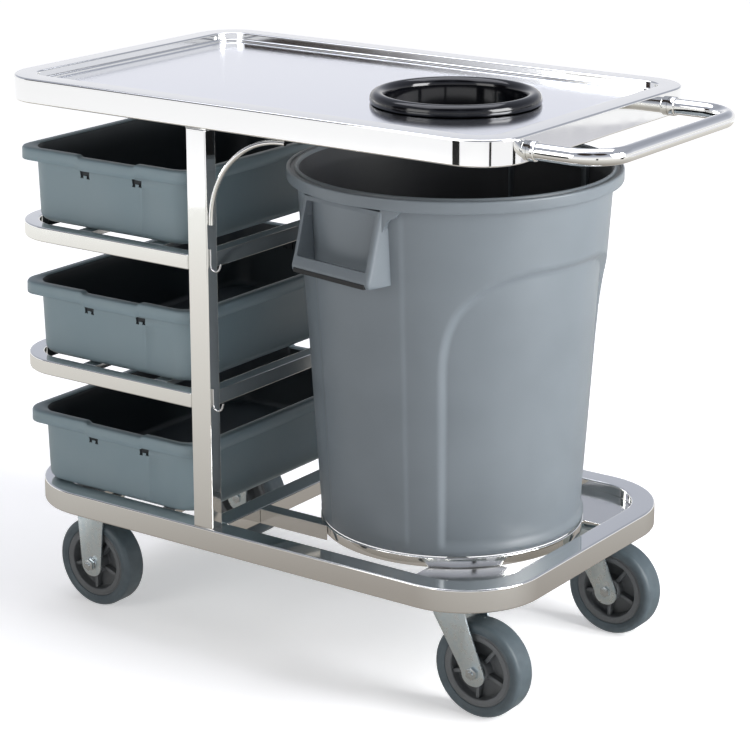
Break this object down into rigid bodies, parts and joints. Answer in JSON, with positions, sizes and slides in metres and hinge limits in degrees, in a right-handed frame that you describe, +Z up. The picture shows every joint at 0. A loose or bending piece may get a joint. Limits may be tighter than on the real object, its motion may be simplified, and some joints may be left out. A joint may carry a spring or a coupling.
{
  "type": "food service trolley",
  "caption": "Stainless bussing trolley: recessed tray with a chute ring over a round bin, bus tubs on open shelves beside it, push handle, rigid and swivel casters.",
  "frame": {"origin": "on the floor, under the middle of the whole trolley's bounding box, handle included", "axes": "+X along the length towards the push handle, -Y the front with the hooks, +Z up"},
  "size_m": [1.0835, 0.588, 0.9113],
  "materials": {
    "polished_steel": "polished stainless steel",
    "steel_wire": "bright drawn stainless wire",
    "black_plastic": "gloss black moulded plastic",
    "tub_plastic": "satin grey moulded polypropylene",
    "bin_plastic": "satin grey moulded polyethylene",
    "zinc_plate": "blue-bright zinc plated pressed steel",
    "grey_rubber": "grey non-marking rubber",
    "hub_plastic": "dark grey moulded nylon"
  },
  "bodies": {
    "root": {"base_frame": "polished_steel", "top_frame": "polished_steel", "tray_sheet": "polished_steel", "front_post": "polished_steel", "rear_post": "polished_steel", "upper_shelf_rail": "polished_steel", "middle_shelf_rail": "polished_steel", "upper_shelf_tie": "polished_steel", "middle_shelf_tie": "polished_steel", "upper_rest_bar_1": "polished_steel", "upper_rest_bar_2": "polished_steel", "middle_rest_bar_1": "polished_steel", "middle_rest_bar_2": "polished_steel", "base_rest_bar_1": "polished_steel", "base_rest_bar_2": "polished_steel", "base_tie": "polished_steel", "bin_bar_front": "polished_steel", "bin_bar_rear": "polished_steel", "bin_hoop": "polished_steel", "left_front_corner_plate": "polished_steel", "left_rear_corner_plate": "polished_steel", "right_front_corner_plate": "polished_steel", "right_rear_corner_plate": "polished_steel", "front_brace": "polished_steel", "rear_brace": "polished_steel", "push_handle": "polished_steel", "upper_hook": "steel_wire", "middle_hook": "steel_wire", "chute_collar": "black_plastic", "left_front_caster_plate": "zinc_plate", "left_rear_caster_plate": "zinc_plate", "right_front_caster_plate": "zinc_plate", "right_rear_caster_plate": "zinc_plate", "right_front_swivel_race": "zinc_plate", "left_front_fork": "zinc_plate", "left_front_axle_bolt": "zinc_plate", "right_rear_swivel_race": "zinc_plate", "left_rear_fork": "zinc_plate", "left_rear_axle_bolt": "zinc_plate"},
    "left_front_wheel": {"left_front_tyre": "grey_rubber", "left_front_hub": "hub_plastic", "left_front_sleeve": "zinc_plate"},
    "left_rear_wheel": {"left_rear_tyre": "grey_rubber", "left_rear_hub": "hub_plastic", "left_rear_sleeve": "zinc_plate"},
    "right_front_caster": {"right_front_fork": "zinc_plate", "right_front_axle_bolt": "zinc_plate"},
    "right_front_wheel": {"right_front_tyre": "grey_rubber", "right_front_hub": "hub_plastic", "right_front_sleeve": "zinc_plate"},
    "right_rear_caster": {"right_rear_fork": "zinc_plate", "right_rear_axle_bolt": "zinc_plate"},
    "right_rear_wheel": {"right_rear_tyre": "grey_rubber", "right_rear_hub": "hub_plastic", "right_rear_sleeve": "zinc_plate"},
    "upper_tub": {"upper_tub": "tub_plastic"},
    "middle_tub": {"middle_tub": "tub_plastic"},
    "lower_tub": {"lower_tub": "tub_plastic"},
    "waste_bin": {"waste_bin": "bin_plastic"}
  },
  "joints": [
    {"name": "left_front_wheel_spin", "type": "hinge", "parent": "root", "child": "left_front_wheel", "pos_m": [-0.43075, -0.198, 0.0762], "axis": [0, 1, 0], "continuous": true},
    {"name": "left_rear_wheel_spin", "type": "hinge", "parent": "root", "child": "left_rear_wheel", "pos_m": [-0.43075, 0.198, 0.0762], "axis": [0, 1, 0], "continuous": true},
    {"name": "right_front_swivel", "type": "hinge", "parent": "root", "child": "right_front_caster", "pos_m": [0.29725, -0.198, 0], "axis": [0, 0, 1], "continuous": true},
    {"name": "right_front_wheel_spin", "type": "hinge", "parent": "right_front_caster", "child": "right_front_wheel", "pos_m": [0.33725, -0.198, 0.0762], "axis": [0, 1, 0], "continuous": true},
    {"name": "right_rear_swivel", "type": "hinge", "parent": "root", "child": "right_rear_caster", "pos_m": [0.29725, 0.198, 0], "axis": [0, 0, 1], "continuous": true},
    {"name": "right_rear_wheel_spin", "type": "hinge", "parent": "right_rear_caster", "child": "right_rear_wheel", "pos_m": [0.33725, 0.198, 0.0762], "axis": [0, 1, 0], "continuous": true},
    {"name": "upper_tub_slide", "type": "slide", "parent": "root", "child": "upper_tub", "axis": [-1, 0, 0], "range_m": [0, 0.36]},
    {"name": "middle_tub_slide", "type": "slide", "parent": "root", "child": "middle_tub", "axis": [-1, 0, 0], "range_m": [0, 0.36]},
    {"name": "lower_tub_slide", "type": "slide", "parent": "root", "child": "lower_tub", "axis": [-1, 0, 0], "range_m": [0, 0.36]},
    {"name": "waste_bin_slide", "type": "slide", "parent": "root", "child": "waste_bin", "axis": [0.2425, -0.9701, 0], "range_m": [0, 0.6]}
  ]
}
